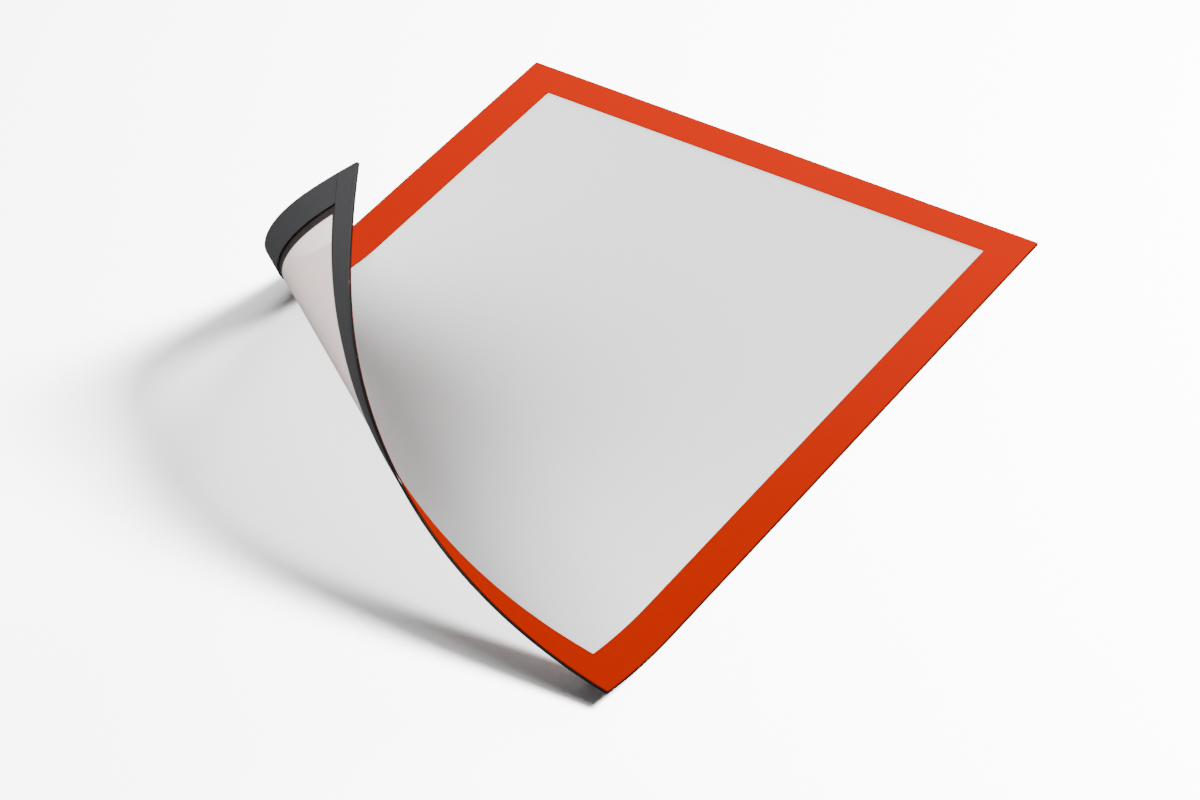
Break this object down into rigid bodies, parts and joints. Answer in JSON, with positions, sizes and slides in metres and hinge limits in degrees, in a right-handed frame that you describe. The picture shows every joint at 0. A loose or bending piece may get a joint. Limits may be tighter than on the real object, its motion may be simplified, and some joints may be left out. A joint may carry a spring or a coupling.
{
  "type": "magnetic display frame",
  "caption": "Flexible flat frame with a coloured border, clear matt window and magnet strips on its back, one corner peeled up and curled over.",
  "frame": {"origin": "centre of the flat outline, on the plane of the magnet strips' back faces", "axes": "+Z out of the front face, +Y along the long side towards the flat short side, +X to the right seen from the front"},
  "size_m": [0.2366, 0.3224, 0.1165],
  "materials": {
    "facing": "fine-grained matt orange film",
    "liner": "dark brown opaque film",
    "window": "clear film with an anti-glare matt face",
    "tape": "translucent adhesive",
    "magnet": "satin ferrite-filled rubber"
  },
  "bodies": {
    "flat_part": {"facing_flat": "facing", "liner_flat": "liner", "window_flat": "window", "tape_flat": "tape", "magnet_top": "magnet", "magnet_right_flat": "magnet", "magnet_left_flat": "magnet"},
    "curl_1": {"magnet_right_curl_1": "magnet", "facing_curl_1": "facing", "liner_curl_1": "liner", "window_curl_1": "window", "tape_curl_1": "tape", "magnet_bottom_curl_1": "magnet", "magnet_left_curl_1": "magnet"},
    "curl_2": {"facing_curl_2": "facing", "liner_curl_2": "liner", "window_curl_2": "window", "tape_curl_2": "tape", "magnet_bottom_curl_2": "magnet", "magnet_left_curl_2": "magnet"},
    "curl_3": {"facing_curl_3": "facing", "liner_curl_3": "liner", "window_curl_3": "window", "tape_curl_3": "tape", "magnet_bottom_curl_3": "magnet", "magnet_left_curl_3": "magnet"},
    "curl_4": {"facing_curl_4": "facing", "liner_curl_4": "liner", "window_curl_4": "window", "tape_curl_4": "tape", "magnet_bottom_curl_4": "magnet", "magnet_left_curl_4": "magnet"},
    "curl_5": {"facing_curl_5": "facing", "liner_curl_5": "liner", "window_curl_5": "window", "tape_curl_5": "tape", "magnet_bottom_curl_5": "magnet", "magnet_left_curl_5": "magnet"},
    "curl_6": {"facing_curl_6": "facing", "liner_curl_6": "liner", "window_curl_6": "window", "tape_curl_6": "tape", "magnet_bottom_curl_6": "magnet", "magnet_left_curl_6": "magnet"},
    "curl_7": {"facing_curl_7": "facing", "liner_curl_7": "liner", "window_curl_7": "window", "tape_curl_7": "tape", "magnet_bottom_curl_7": "magnet", "magnet_left_curl_7": "magnet"},
    "curl_8": {"facing_curl_8": "facing", "liner_curl_8": "liner", "window_curl_8": "window", "tape_curl_8": "tape", "magnet_bottom_curl_8": "magnet", "magnet_left_curl_8": "magnet"}
  },
  "joints": [
    {"name": "curl_hinge_1", "type": "hinge", "parent": "flat_part", "child": "curl_1", "pos_m": [0, -0.05153, 0], "axis": [-0.8426, 0.5385, 0], "range_deg": [-9.79, 0.75]},
    {"name": "curl_hinge_2", "type": "hinge", "parent": "curl_1", "child": "curl_2", "pos_m": [-0.00071, -0.08007, 0.00566], "axis": [-0.823, 0.568, -0.0082], "range_deg": [-18.84, 1.45]},
    {"name": "curl_hinge_3", "type": "hinge", "parent": "curl_2", "child": "curl_3", "pos_m": [-0.01919, -0.08764, 0.01469], "axis": [-0.8085, 0.588, -0.0216], "range_deg": [-18.08, 1.39]},
    {"name": "curl_hinge_4", "type": "hinge", "parent": "curl_3", "child": "curl_4", "pos_m": [-0.03421, -0.09268, 0.02818], "axis": [-0.7965, 0.6031, -0.042], "range_deg": [-17.83, 1.38]},
    {"name": "curl_hinge_5", "type": "hinge", "parent": "curl_4", "child": "curl_5", "pos_m": [-0.04524, -0.09441, 0.04467], "axis": [-0.7881, 0.6119, -0.0673], "range_deg": [-17.58, 1.36]},
    {"name": "curl_hinge_6", "type": "hinge", "parent": "curl_5", "child": "curl_6", "pos_m": [-0.05201, -0.09242, 0.06257], "axis": [-0.7839, 0.6136, -0.0951], "range_deg": [-16.83, 1.3]},
    {"name": "curl_hinge_7", "type": "hinge", "parent": "curl_6", "child": "curl_7", "pos_m": [-0.05454, -0.08687, 0.08032], "axis": [-0.7841, 0.6084, -0.1227], "range_deg": [-14.07, 1.09]},
    {"name": "curl_hinge_8", "type": "hinge", "parent": "curl_7", "child": "curl_8", "pos_m": [-0.05346, -0.07867, 0.09686], "axis": [-0.788, 0.5975, -0.1483], "range_deg": [-9.3, 0.72]}
  ],
  "couplings": [
    {"joint": "curl_hinge_2", "follows": "curl_hinge_1", "ratio": 1.923},
    {"joint": "curl_hinge_3", "follows": "curl_hinge_1", "ratio": 1.8459},
    {"joint": "curl_hinge_4", "follows": "curl_hinge_1", "ratio": 1.8203},
    {"joint": "curl_hinge_5", "follows": "curl_hinge_1", "ratio": 1.7946},
    {"joint": "curl_hinge_6", "follows": "curl_hinge_1", "ratio": 1.7177},
    {"joint": "curl_hinge_7", "follows": "curl_hinge_1", "ratio": 1.4357},
    {"joint": "curl_hinge_8", "follows": "curl_hinge_1", "ratio": 0.94861}
  ]
}
